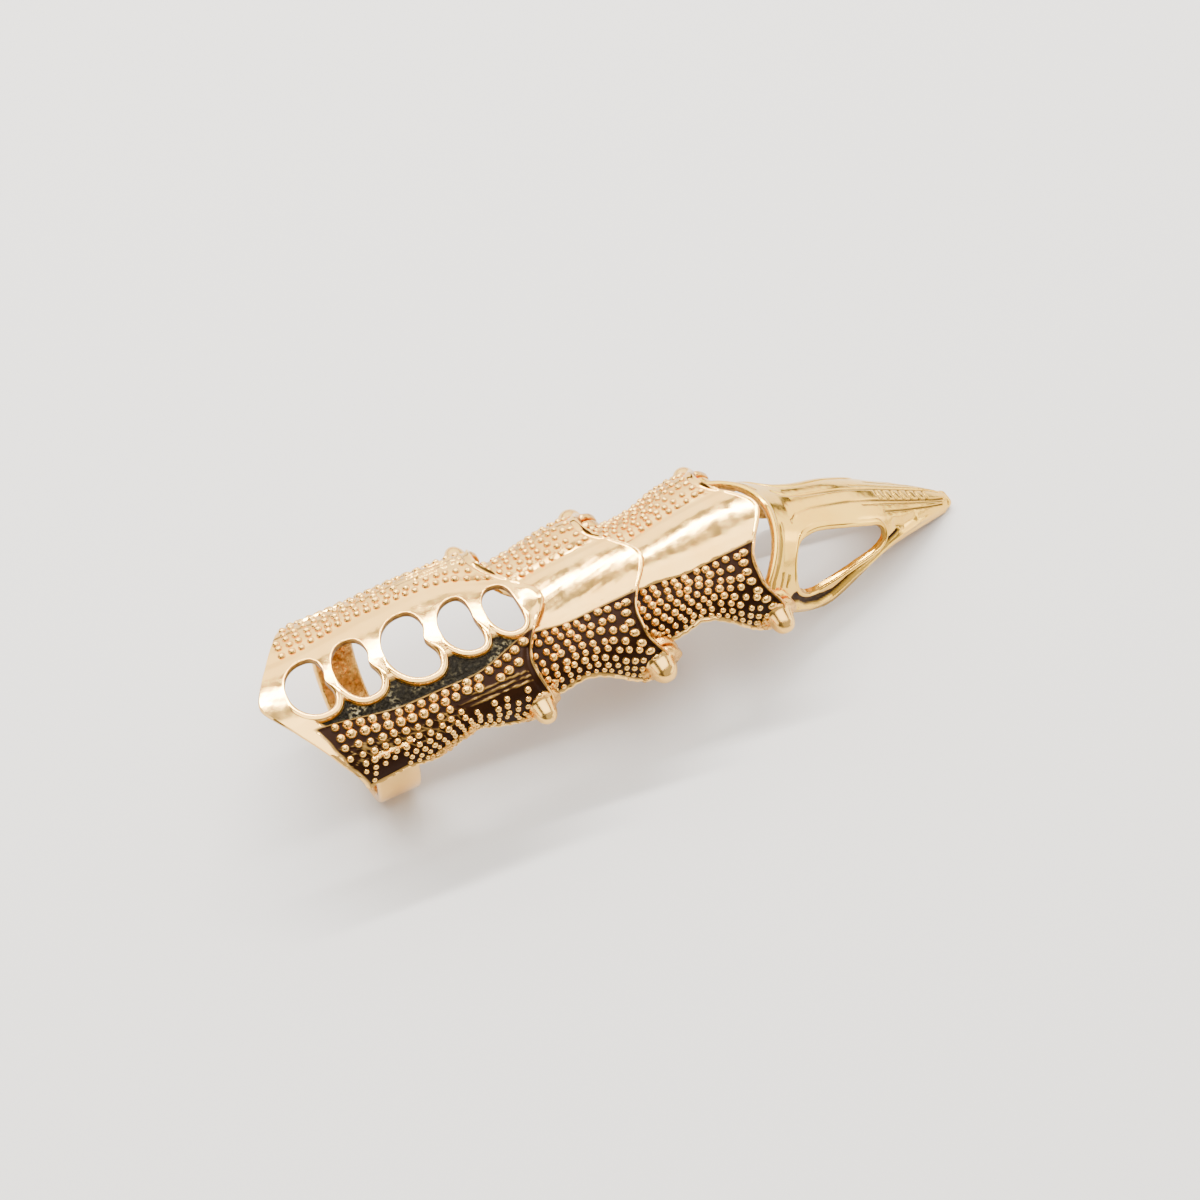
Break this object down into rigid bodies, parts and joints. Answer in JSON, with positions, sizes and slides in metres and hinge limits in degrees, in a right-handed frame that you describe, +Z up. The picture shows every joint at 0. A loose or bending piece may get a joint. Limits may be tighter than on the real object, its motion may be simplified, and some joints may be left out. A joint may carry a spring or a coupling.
{
  "type": "articulated claw ring",
  "caption": "Armour-style claw ring in rose-gold cast metal: pierced, beaded base plate on a finger loop, riveted overlapping plates and a windowed claw tip.",
  "frame": {"origin": "on the surface that the ring rests on, under the middle of its box", "axes": "+X along the finger towards the claw's tip, +Y across the finger, +Z up from the surface"},
  "size_m": [0.0932, 0.0276, 0.0181],
  "materials": {
    "cast_metal": "polished light rose gold plating, darker between the cast beads",
    "rivet_metal": "polished light rose gold plating"
  },
  "bodies": {
    "base_body": {"base": "cast_metal", "rivet_a_near": "rivet_metal", "rivet_a_far": "rivet_metal"},
    "plate_2_body": {"plate_2": "cast_metal", "rivet_b_near": "rivet_metal", "rivet_b_far": "rivet_metal"},
    "plate_3_body": {"plate_3": "cast_metal", "rivet_c_near": "rivet_metal", "rivet_c_far": "rivet_metal"},
    "claw_body": {"claw": "cast_metal"}
  },
  "joints": [
    {"name": "hinge_a", "type": "hinge", "parent": "base_body", "child": "plate_2_body", "pos_m": [-0.01709, 0, 0.0128], "axis": [0, 1, 0], "range_deg": [0, 60]},
    {"name": "hinge_b", "type": "hinge", "parent": "plate_2_body", "child": "plate_3_body", "pos_m": [-0.00129, 0, 0.0107], "axis": [0, 1, 0], "range_deg": [0, 60]},
    {"name": "hinge_c", "type": "hinge", "parent": "plate_3_body", "child": "claw_body", "pos_m": [0.01431, 0, 0.01], "axis": [0, 1, 0], "range_deg": [0, 50]}
  ]
}
